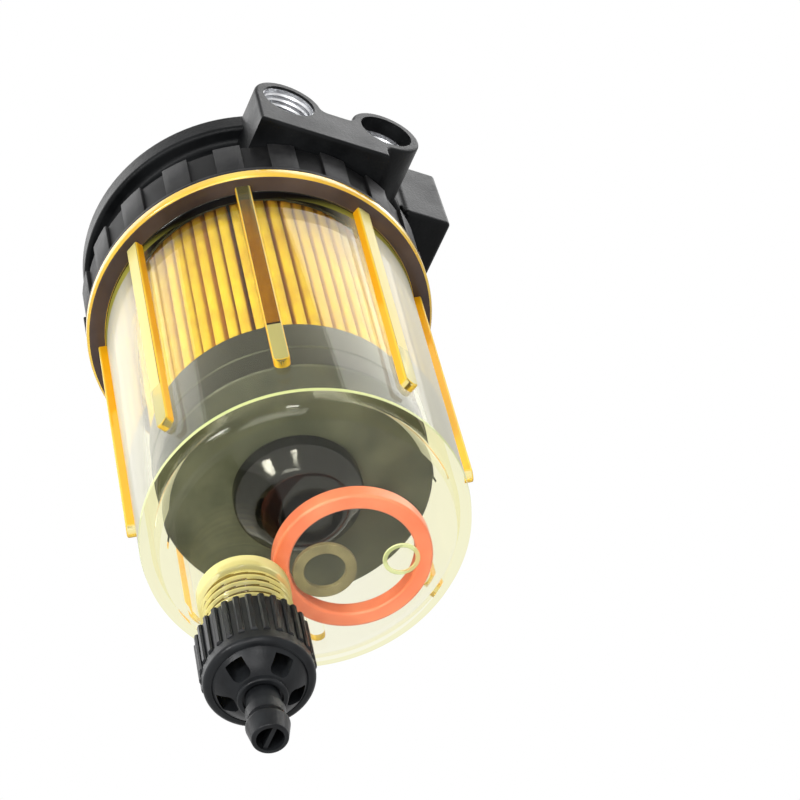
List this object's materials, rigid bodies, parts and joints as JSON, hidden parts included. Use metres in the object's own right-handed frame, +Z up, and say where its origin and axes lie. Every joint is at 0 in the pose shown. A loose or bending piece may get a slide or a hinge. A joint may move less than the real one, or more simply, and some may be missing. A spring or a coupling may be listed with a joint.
{
  "type": "fuel water separator",
  "caption": "Cast head with four fuel ports over a clear ribbed bowl that holds a pleated element, with a ribbed lock ring and a screw-down drain valve.",
  "frame": {"origin": "centre of the mounting pad's outer face, midway between its two bolt holes", "axes": "+Z up along the bowl's axis, +Y out of the mounting pad towards the bracket, +X along the port holes"},
  "size_m": [0.094, 0.0868, 0.1944],
  "materials": {
    "head_paint": "black painted casting, satin",
    "bare_aluminium": "machined",
    "cap_steel": "dark satin coat",
    "core_steel": "plain perforated",
    "filter_paper": "pleated resin-treated paper",
    "seal_rubber": "matte",
    "knob_plastic": "gloss",
    "ring_plastic": "fine grained",
    "clear_plastic": "clear, faintly yellow",
    "float_plastic": "smooth orange-red",
    "fibre_washer": "plain",
    "valve_plastic": "satin"
  },
  "bodies": {
    "head_assembly": {"head": "head_paint", "stem_tube": "bare_aluminium", "element_top_cap": "cap_steel", "element_media": "filter_paper", "element_core": "core_steel", "element_bottom_cap": "cap_steel", "element_grommet": "seal_rubber", "foot_seal": "seal_rubber", "retaining_knob": "knob_plastic"},
    "bowl_assembly": {"bowl": "clear_plastic", "bowl_gasket": "seal_rubber", "float_ring": "float_plastic", "loose_washer": "fibre_washer"},
    "lock_ring": {"lock_ring": "ring_plastic"},
    "drain_seals": {"drain_seat_seal": "seal_rubber", "drain_piston_seal": "seal_rubber"},
    "drain_valve": {"drain_valve": "valve_plastic"}
  },
  "joints": [
    {"name": "bowl_drop", "type": "slide", "parent": "head_assembly", "child": "bowl_assembly", "axis": [0, 0, -1], "range_m": [0, 0.005]},
    {"name": "lock_ring_turn", "type": "hinge", "parent": "bowl_assembly", "child": "lock_ring", "pos_m": [0, -0.044, -0.037], "axis": [0, 0, -1], "range_deg": [0, 720]},
    {"name": "drain_drop", "type": "slide", "parent": "bowl_assembly", "child": "drain_seals", "axis": [0, 0, -1], "range_m": [0, 0.0033]},
    {"name": "drain_valve_turn", "type": "hinge", "parent": "drain_seals", "child": "drain_valve", "pos_m": [-0.0165, -0.0532, -0.155], "axis": [0, 0, -1], "range_deg": [0, 540]}
  ],
  "couplings": [
    {"joint": "lock_ring_turn", "follows": "bowl_drop", "rad_per_m": 2513.3},
    {"joint": "drain_drop", "follows": "drain_valve_turn", "m_per_rad": 0.00035}
  ]
}
